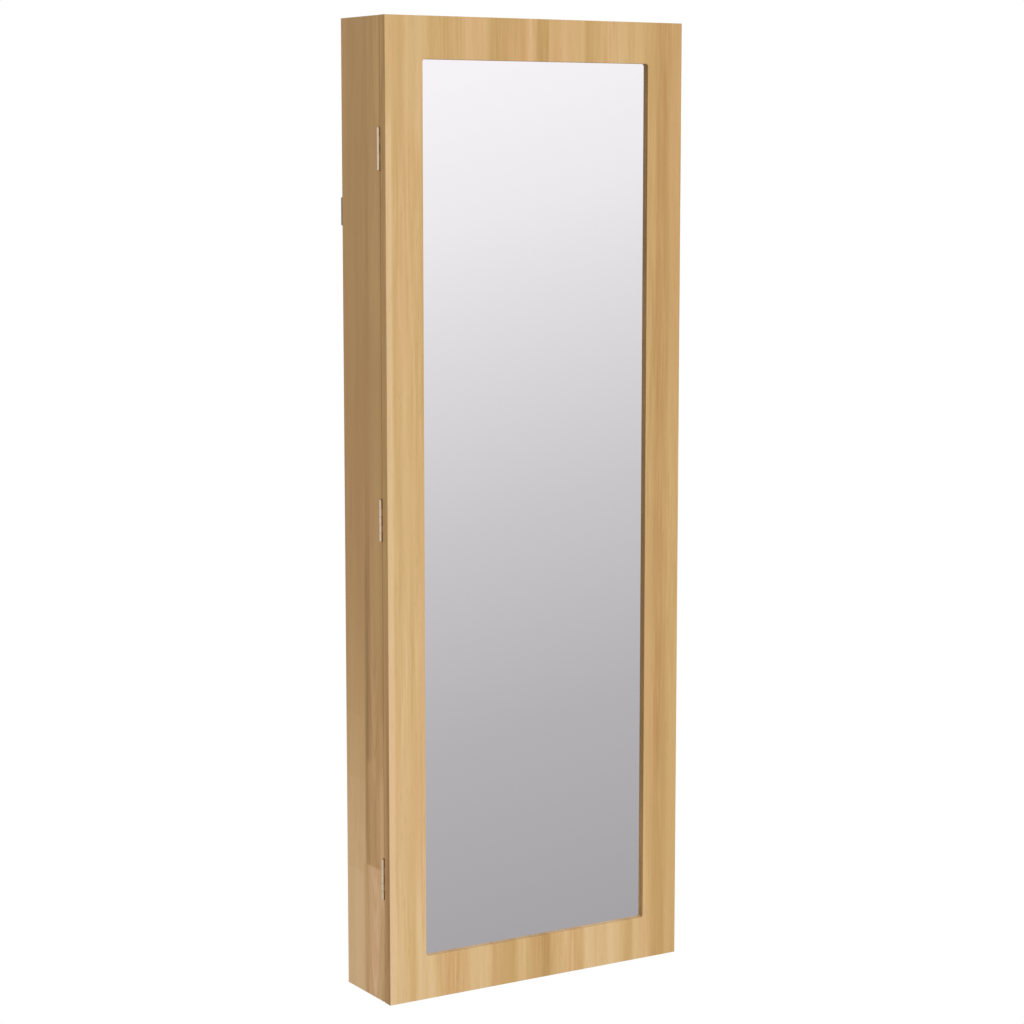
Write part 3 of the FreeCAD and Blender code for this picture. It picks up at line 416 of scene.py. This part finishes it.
def side_features(g, tone):
    y, z = g.axes()[1:]
    across = g.plus(y, g.times(g.noise(STAVE_SWAY_COUNTS, detail=3.0), STAVE_SWAY))
    for front, back, low, high, depth, end in SIDE_STAVES:
        soft = min(STAVE_EDGE_LIMIT, (back - front) * STAVE_EDGE) * MM
        stave = g.within(across, front * MM, back * MM, soft)
        stave = g.times(stave, g.within(z, low * MM, high * MM, end * MM))
        tone = g.plus(tone, g.times(stave, depth))
    front, back = REAR_STAVE
    rear = g.within(across, front * MM, back * MM, EDGE_SOFT)
    tone = g.plus(tone, g.times(g.slope(z, REAR_FOOT), rear))
    front, back = STREAK
    streak = g.times(g.within(across, front * MM, back * MM, EDGE_SOFT), g.slope(z, STREAK_START))
    tone = g.plus(tone, g.times(streak, g.slope(z, STREAK_FADE)))
    return g.plus(tone, crown_figure(g, y, z, across))


# ---- other finishes

VELVET_STOPS = (
    (0.0, (0.020, 0.019, 0.020)),
    (0.5, (0.040, 0.038, 0.040)),
    (1.0, (0.070, 0.067, 0.069)),
)
VELVET_PILE = 0.18 * MM
METAL_SCRATCH = 0.02 * MM
DULLED = 0.80               # share of a metal's colour that its darkest clouding keeps
ACRYLIC_STOPS = ((0.0, (0.985, 0.995, 0.995)), (1.0, (0.955, 0.970, 0.970)))
ACRYLIC_SHADOW = (0.96, 0.97, 0.97, 1.0)
BOARD_RELIEF = 0.12 * MM


def velvet():
    """Charcoal velvet: an even pile that gleams where it turns away, brushed one way or the other."""
    g = Finish("charcoal_velvet", Sheen_Weight=0.9, Sheen_Roughness=0.35, Specular_IOR_Level=0.1)
    g.set(Sheen_Tint=(0.50, 0.49, 0.50))
    brushed = g.noise((26, 26, 5), detail=2.0)
    pile = g.noise((900, 900, 700), detail=2.0)
    shade = g.plus(0.5, g.times(brushed, 0.45), g.times(pile, 1.1))
    g.set(Base_Color=g.ramp(shade, VELVET_STOPS), Roughness=g.plus(0.92, g.times(pile, 0.1)))
    g.set(Normal=g.bump(pile, VELVET_PILE, 0.6))
    return g.material


def metal(name, colour, rough, brushed):
    """Plated or bare metal, with fine lines stretched along what was brushed, and faint clouding."""
    g = Finish(name, Metallic=1.0)
    brush = g.noise(brushed, detail=3.0, rough=0.6)
    cloud = g.noise((70, 70, 70))
    dull = tuple(channel * DULLED for channel in colour)
    shade = g.plus(0.6, g.times(brush, 0.7), g.times(cloud, 0.6))
    g.set(Base_Color=g.ramp(shade, ((0.0, dull), (0.8, colour))))
    g.set(Roughness=g.plus(rough, g.times(brush, 0.18), g.times(cloud, 0.12)))
    g.set(Normal=g.bump(brush, METAL_SCRATCH, 0.5))
    return g.material


def mirror():
    """Silvered glass, with the faintest clouding left by a cloth."""
    g = Finish("mirror_silver", Metallic=1.0, Base_Color=(0.930, 0.930, 0.935))
    wipe = g.noise((7, 7, 3), detail=2.0)
    g.set(Roughness=g.ranged(wipe, -0.25, 0.25, (0.012, 0.03)))
    return g.material


def acrylic():
    """Clear polished sheet, faintly smeared. Lamps shine through it.

    It reflects a little less than real acrylic, whose reflections show as noise on the velvet."""
    g = Finish("clear_acrylic", Transmission_Weight=1.0, IOR=1.3, Roughness=0.0)
    g.set(Specular_Tint=(0.5, 0.5, 0.5))
    smears = g.ranged(g.noise((30, 30, 30), detail=3.0), -0.2, 0.3)
    g.set(Base_Color=g.ramp(smears, ACRYLIC_STOPS))
    shadow = g.node("LightPath").outputs["Is Shadow Ray"]
    clear = g.node("BsdfTransparent", {"Color": ACRYLIC_SHADOW}).outputs[0]
    surface = g.node("MixShader", {0: shadow, 1: g.shader.outputs[0], 2: clear}).outputs[0]
    g.feed(g.tree.nodes["Material Output"].inputs["Surface"], surface)
    return g.material


def moulded(name, dark, light, rough, grains=900, depth=0.05, **more):
    """Moulded plastic or rubber: a fine even grain, this deep in mm, and slight clouding."""
    g = Finish(name, **more)
    grain = g.noise((grains,) * 3, detail=1.0)
    cloud = g.noise((45, 45, 45), detail=2.0)
    shade = g.plus(0.5, g.times(grain, 0.5), g.times(cloud, 1.2))
    g.set(Base_Color=g.ramp(shade, ((0.0, dark), (1.0, light))))
    g.set(Roughness=g.plus(rough, g.times(cloud, 0.2)))
    g.set(Normal=g.bump(grain, depth * MM, 0.6))
    return g.material


def fibre_board(name, dark, light, rough, flecks, fleck_colour):
    """Pressed fibre: mottled, with short darker fibres lying flat in it."""
    g = Finish(name, IOR=1.4)
    mottle = g.noise((40, 40, 40), detail=4.0, rough=0.65)
    grit = g.noise((420, 420, 420), detail=2.0)
    threads = g.noise(flecks, detail=2.0)
    cross = g.noise(flecks[::-1], detail=2.0, shift=4.0)
    shade = g.plus(0.5, g.times(mottle, 0.45), g.times(threads, 0.5), g.times(grit, 0.5))
    colour = g.ramp(shade, ((0.1, dark), (0.9, light)))
    flake = g.ranged(g.math("MAXIMUM", threads, cross), 0.13, 0.26)
    g.set(Base_Color=g.blend(g.times(flake, 0.45), colour, fleck_colour))
    g.set(Roughness=g.plus(rough, g.times(mottle, 0.2)))
    g.set(Normal=g.bump(g.plus(grit, threads), BOARD_RELIEF, 0.5))
    return g.material


HARDBOARD = {
    "dark": (0.20, 0.115, 0.058),
    "light": (0.36, 0.225, 0.120),
    "rough": 0.62,
    "flecks": (900, 300, 60),
    "fleck_colour": (0.12, 0.066, 0.034),
}
CARD = {
    "dark": (0.36, 0.26, 0.16),
    "light": (0.52, 0.39, 0.25),
    "rough": 0.85,
    "flecks": (500, 200, 50),
    "fleck_colour": (0.24, 0.17, 0.10),
}
FERRITE = {"rough": 0.66, "grains": 500, "depth": 0.09}
RUBBER = {"rough": 0.22, "grains": 400, "depth": 0.02, "Transmission_Weight": 0.7, "IOR": 1.48}
RIGHT_SIDE = {"base": 0.60, "shift": 12.4, "stops": SIDE_STOPS}
LEFT_SIDE = {"base": 0.68, "shift": 7.7, "stops": SIDE_STOPS, "fine": 0.45}

# The finish of each material slot, and of the nodes that have one of their own
FINISHES = {
    "velvet": velvet(),
    "mirror": mirror(),
    "acrylic": acrylic(),
    "hardboard": fibre_board("hardboard", **HARDBOARD),
    "packing_card": fibre_board("packing_card", **CARD),
    "hinge_metal": metal("hinge_plate", (0.75, 0.615, 0.445), 0.36, (700, 700, 60)),
    "nickel": metal("satin_nickel", (0.70, 0.67, 0.62), 0.30, (500, 500, 500)),
    "zinc": metal("zinc_plate", (0.63, 0.63, 0.62), 0.36, (350, 350, 350)),
    "rod_aluminium": metal("brushed_aluminium", (0.80, 0.80, 0.79), 0.28, (12, 1100, 1100)),
    "dark_plastic": moulded("dark_plastic", (0.028, 0.028, 0.030), (0.052, 0.052, 0.056), 0.48),
    "catch_plastic": moulded("catch_plastic", (0.62, 0.57, 0.48), (0.76, 0.71, 0.62), 0.42),
    "ferrite": moulded("ferrite", (0.030, 0.030, 0.033), (0.075, 0.073, 0.072), **FERRITE),
    "clear_rubber": moulded("clear_rubber", (0.74, 0.74, 0.70), (0.90, 0.90, 0.87), **RUBBER),
    "beech": oak("beech", grain="X", base=0.22, shift=44.0),
    "oak_film": oak("oak_across", grain="X", base=0.48, shift=30.5),
}
OWN_FINISHES = {
    "door_frame": oak("oak_door", base=0.31, shift=3.1, features=door_features),
    "side_panel_left": oak("oak_left_side", features=side_features, **LEFT_SIDE),
    "side_panel_right": oak("oak_right_side", **RIGHT_SIDE),
    "earring_panel": oak("oak_earring_panel", base=0.42, shift=21.0),
    # Painted shade: the hanging plates' zinc is coloured dark brown-grey, far darker than the other
    # zinc
    "hanging_plates": metal("zinc_with_painted_shade", (0.31, 0.27, 0.215), 0.5, (250, 250, 250)),
}


def dress_nodes():
    """Gives every node of the frame its own finish or that of its slot."""
    for part in frame["record"]["subparts"]:
        mesh = frame["nodes"][part["node"]].data
        mesh.materials.clear()
        mesh.materials.append(OWN_FINISHES.get(part["node"], FINISHES[part["material_slot"]]))


dress_nodes()


# ---- ring rolls

ROLLS = sum(node.startswith("ring_roll_") for node in frame["nodes"])
ROLL_SLACK = 0.9 * MM       # how much thinner the cover starts than the roll's space
ROLL_END_SLACK = 0.5 * MM
ROLL_SHOULDER = 4.2 * MM
SHOULDER_RINGS = 6
SHOULDER_TURN = math.pi / 10    # from one ring of the shoulder to the next
ROLL_DIMPLE = 1.4 * MM      # depth of an end's middle
ROLL_HOLLOW = 1.0 * MM      # and of the shallow hollow round it
HOLLOW_RINGS = (0.1, 0.35, 0.6, 0.85)   # shares of the radius inside the shoulder
ROLL_AROUND = 48
ROLL_STATIONS = 120
DENT = 0.5 * MM             # shallow dents in the cover before it is filled
DENTS_ALONG = 90            # features of their noise to the metre
DENTS_AROUND = 1.6          # radius of the circle in the noise that goes round a roll
DENTS_APART = 7.7           # from one roll's circle to the next

ENLARGED = 20.0             # the cloth solver works on a large copy
COVER_FRAMES = 14
COVER_QUALITY = 6
COVER_MASS = 0.3
COVER_SPARE = 0.018         # share by which the cover is larger than its foam
COVER_PRESSURE = 5.0
COVER_STIFFNESS = 10.0
COVER_SHEAR = 0.4           # share of the stiffness
COVER_BENDING = 0.1
GLUED_FROM = 0.92           # share of the radius from which the side towards the tray is glued
GLUED_END = 1.5             # how deep an end's middle third is glued, in depths of its dimple


def roll_outline(half, radius):
    """A roll's outline from the middle of one end to the other: (along, distance from its axis)."""
    flat = radius - ROLL_SHOULDER
    end = [(half - ROLL_HOLLOW * (1 - share) ** 2, flat * share) for share in HOLLOW_RINGS]
    for ring in range(SHOULDER_RINGS):
        turn = SHOULDER_TURN * ring
        along_end = half - ROLL_SHOULDER * (1 - math.cos(turn))
        end.append((along_end, flat + ROLL_SHOULDER * math.sin(turn)))
    span = half - ROLL_SHOULDER
    middle = [(span - 2 * span * k / ROLL_STATIONS, radius) for k in range(1, ROLL_STATIONS)]
    return end + middle + [(-x, r) for x, r in reversed(end)]


def roll_mesh(name, half, radius, seed):
    """The cover before it is filled: a slightly dented tube along X with dimpled ends."""
    outline = roll_outline(half, radius)
    verts = [(half - ROLL_DIMPLE, 0.0, 0.0)]
    for x, r in outline:
        for j in range(ROLL_AROUND):
            angle = 2 * math.pi * j / ROLL_AROUND
            round_y = DENTS_AROUND * math.cos(angle)
            round_z = DENTS_AROUND * math.sin(angle) + seed * DENTS_APART
            dent = noise.noise(Vector((x * DENTS_ALONG, round_y, round_z)))
            size = r + DENT * dent * r / radius
            verts.append((x, size * math.cos(angle), size * math.sin(angle)))
    verts.append((ROLL_DIMPLE - half, 0.0, 0.0))
    last = 1 + (len(outline) - 1) * ROLL_AROUND
    faces = []
    for j in range(ROLL_AROUND):
        after = (j + 1) % ROLL_AROUND
        faces.append((0, 1 + j, 1 + after))
        faces.append((len(verts) - 1, last + after, last + j))
        for ring in range(1, last, ROLL_AROUND):
            beyond = ring + ROLL_AROUND
            faces.append((ring + j, beyond + j, beyond + after, ring + after))
    mesh = bpy.data.meshes.new(name)
    mesh.from_pydata([Vector(v) * ENLARGED for v in verts], [], faces)
    mesh.validate()
    return mesh


def glue(roll, half, radius):
    """The vertex group of the cover's glued points: along the tray and at its two ends."""
    glued = roll.vertex_groups.new(name="glued")
    for vertex in roll.data.vertices:
        point = vertex.co / ENLARGED
        at_end = abs(point.x) > half - ROLL_DIMPLE * GLUED_END and point.yz.length < radius / 3
        if point.y > GLUED_FROM * radius or at_end:
            glued.add([vertex.index], 1.0, "ADD")
    return glued


def fill_cover(roll, half, radius):
    """Presses the cover out over its foam, and returns where its points come to rest."""
    glued = glue(roll, half, radius)
    cover = roll.modifiers.new("cover", "CLOTH")
    cloth = cover.settings
    cloth.quality = COVER_QUALITY
    cloth.mass = COVER_MASS
    cloth.tension_stiffness = COVER_STIFFNESS
    cloth.compression_stiffness = COVER_STIFFNESS
    cloth.shear_stiffness = COVER_STIFFNESS * COVER_SHEAR
    cloth.bending_stiffness = COVER_BENDING
    cloth.use_pressure = True
    cloth.uniform_pressure_force = COVER_PRESSURE
    cloth.shrink_min = -COVER_SPARE
    cloth.vertex_group_mass = glued.name
    cloth.effector_weights.gravity = 0.0
    cover.point_cache.frame_start = 1
    cover.point_cache.frame_end = COVER_FRAMES
    for step in range(1, COVER_FRAMES + 1):
        bpy.context.scene.frame_set(step)
    filled = roll.evaluated_get(bpy.context.evaluated_depsgraph_get())
    points = [vertex.co / ENLARGED for vertex in filled.data.vertices]
    roll.modifiers.remove(cover)
    roll.vertex_groups.remove(glued)
    bpy.context.scene.frame_set(1)
    return points


def ring_roll(index):
    """A foam roll in a velvet cover that is a little too large for it, kept within its solid's box."""
    node = f"ring_roll_{index}"
    low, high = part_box(node)
    centre = (low + high) / 2
    limit = (high.z - low.z) / 2
    half = (high.x - low.x) / 2
    start = (half - ROLL_END_SLACK, limit - ROLL_SLACK)
    mesh = roll_mesh(f"padded_{node}", *start, index)
    roll = bpy.data.objects.new(f"padded_{node}", mesh)
    bpy.context.scene.collection.objects.link(roll)
    points = fill_cover(roll, *start)
    for vertex, point in zip(mesh.vertices, points):
        inward = min(1.0, limit / max(point.yz.length, MM))
        along_roll = max(-half, min(half, point.x))
        vertex.co = centre + Vector((along_roll, point.y * inward, point.z * inward))
    mesh.polygons.foreach_set("use_smooth", [True] * len(mesh.polygons))
    mesh.materials.append(FINISHES["velvet"])
    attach(roll, "cabinet")
    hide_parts(node)


for number in range(1, ROLLS + 1):
    ring_roll(number)


# ---- studio

FLOOR_Z = -0.9
FLOOR_SIZE = 60.0
FLOOR_PAINT = (0.8, 0.8, 0.8, 1.0)
AMBIENT = 0.76
SUN = 0.9
SUN_TOWARDS = (-0.25, 1.0, -0.35)
SUN_WIDTH = math.radians(50)

# What the mirror and the metals show of the studio: how bright it is at each height of the
# reflected ray, from steeply down at the floor to just above the horizon
REFLECTED = (
    (-0.75, 0.780), (-0.50, 0.560), (-0.37, 0.430), (-0.291, 0.405), (-0.210, 0.490),
    (-0.135, 0.627), (-0.059, 0.802), (-0.021, 0.900), (0.034, 0.990),
)
REFLECTED_GREEN = 0.967     # share of green in those greys, which are faintly pink
LIGHTER_LEFT = 0.36         # gain of height for each unit that the ray turns to the left
MIRROR_MIDDLE = 0.52        # sideways slope of the rays that the main picture's mirror shows
MIRROR_SPAN = 0.12
PALE_LEFT = 0.93            # brightness of the studio's left side, which the hinges show
PALE_FROM = (-0.50, -0.20)  # sideways slopes: pale up to the first, not from the second on
PALE_ABOVE = (-0.42, -0.30)     # heights: not pale up to the first, pale from the second on


def reflected_studio(g):
    """The studio in mirrors and metals: white above, grey below, pale on the left."""
    direction = g.node("SeparateXYZ", {0: g.node("TexCoord").outputs["Generated"]}).outputs
    sideways = (MIRROR_MIDDLE - MIRROR_SPAN, MIRROR_MIDDLE + MIRROR_SPAN)
    gain = (LIGHTER_LEFT * MIRROR_SPAN, -LIGHTER_LEFT * MIRROR_SPAN)
    height = g.plus(direction["Z"], g.ranged(direction["X"], *sideways, gain, "LINEAR"))
    lowest = REFLECTED[0][0]
    reach = REFLECTED[-1][0] - lowest
    place = g.ranged(height, lowest, lowest + reach, kind="LINEAR")
    stops = [((at - lowest) / reach, (n, n * REFLECTED_GREEN, n)) for at, n in REFLECTED]
    left = g.ranged(direction["X"], *PALE_FROM, (1.0, 0.0))
    left = g.times(left, g.ranged(direction["Z"], *PALE_ABOVE))
    return g.blend(left, g.ramp(place, stops), (PALE_LEFT,) * 3)


def studio_world():
    """White to the camera, the reflected studio in mirrors, and an even grey light on all else."""
    world = bpy.data.worlds.new("studio")
    bpy.context.scene.world = world
    world.use_nodes = True
    g = Graph(world.node_tree)
    rays = g.node("LightPath").outputs
    shown = g.blend(rays["Is Glossy Ray"], WHITE, reflected_studio(g))
    seen = g.plus(rays["Is Camera Ray"], rays["Is Glossy Ray"], rays["Is Transmission Ray"])
    seen = g.math("MINIMUM", seen, 1.0)
    background = g.tree.nodes["Background"]
    g.feed(background.inputs["Color"], g.blend(seen, (AMBIENT,) * 3, shown))


def floor_material():
    """Pale paint that looks white to the camera, and isn't there from below or in mirrors."""
    material = bpy.data.materials.new("pale_floor")
    material.use_nodes = True
    g = Graph(material.node_tree)
    g.tree.nodes.remove(g.tree.nodes["Principled BSDF"])
    rays = g.node("LightPath").outputs
    paint = g.node("BsdfDiffuse", {"Color": FLOOR_PAINT}).outputs[0]
    white = g.node("Emission", {"Color": (*WHITE, 1.0)}).outputs[0]
    seen = g.math("MINIMUM", g.plus(rays["Is Camera Ray"], rays["Is Transmission Ray"]), 1.0)
    shown = g.node("MixShader", {0: seen, 1: paint, 2: white}).outputs[0]
    through = g.math("MAXIMUM", rays["Is Glossy Ray"], g.node("NewGeometry").outputs["Backfacing"])
    clear = g.node("BsdfTransparent").outputs[0]
    surface = g.node("MixShader", {0: through, 1: shown, 2: clear}).outputs[0]
    g.feed(g.tree.nodes["Material Output"].inputs["Surface"], surface)
    return material


def studio_floor():
    half = FLOOR_SIZE / 2
    corners = ((-half, -half), (half, -half), (half, half), (-half, half))
    mesh = bpy.data.meshes.new("studio_floor")
    mesh.from_pydata([(x, y, FLOOR_Z) for x, y in corners], [], [(0, 1, 2, 3)])
    mesh.materials.append(floor_material())
    floor = bpy.data.objects.new("studio_floor", mesh)
    bpy.context.scene.collection.objects.link(floor)


def sun():
    """A broad soft light from the front, a little from the right and above."""
    lamp = bpy.data.lights.new("key", "SUN")
    lamp.energy = SUN
    lamp.angle = SUN_WIDTH
    holder = bpy.data.objects.new("key", lamp)
    holder.rotation_euler = Vector(SUN_TOWARDS).to_track_quat("-Z", "Y").to_euler()
    holder.visible_glossy = False
    bpy.context.scene.collection.objects.link(holder)


studio_world()
studio_floor()
sun()


# ---- camera, at the photograph's angle

YAW = -0.5487               # turn of the view about the upright, from straight into the wall
PITCH = -0.1275             # tilt of the view below the level
DISTANCE = 2.9360           # from the cabinet's middle to the camera, along the level view
ASIDE = 0.0226
HEIGHT = 0.9152
FOCAL_SHARE = 2626.28 / 1024    # of the image's width
RISE_SHARE = -20 / 1024         # the picture's middle, below the view's axis

forward = Vector((-math.sin(YAW), math.cos(YAW), 0.0))
rightwards = Vector((math.cos(YAW), math.sin(YAW), 0.0))
lens = bpy.data.cameras.new("camera")
lens.sensor_width = 36.0
lens.lens = FOCAL_SHARE * lens.sensor_width
lens.shift_y = RISE_SHARE
lens.clip_end = 200.0
camera = bpy.data.objects.new("camera", lens)
camera.location = rightwards * ASIDE - forward * DISTANCE + Vector((0.0, 0.0, HEIGHT))
view = forward * math.cos(PITCH) + Vector((0.0, 0.0, math.sin(PITCH)))
camera.rotation_euler = view.to_track_quat("-Z", "Y").to_euler()
bpy.context.scene.collection.objects.link(camera)
bpy.context.scene.camera = camera
bpy.context.scene.view_settings.view_transform = "Standard"
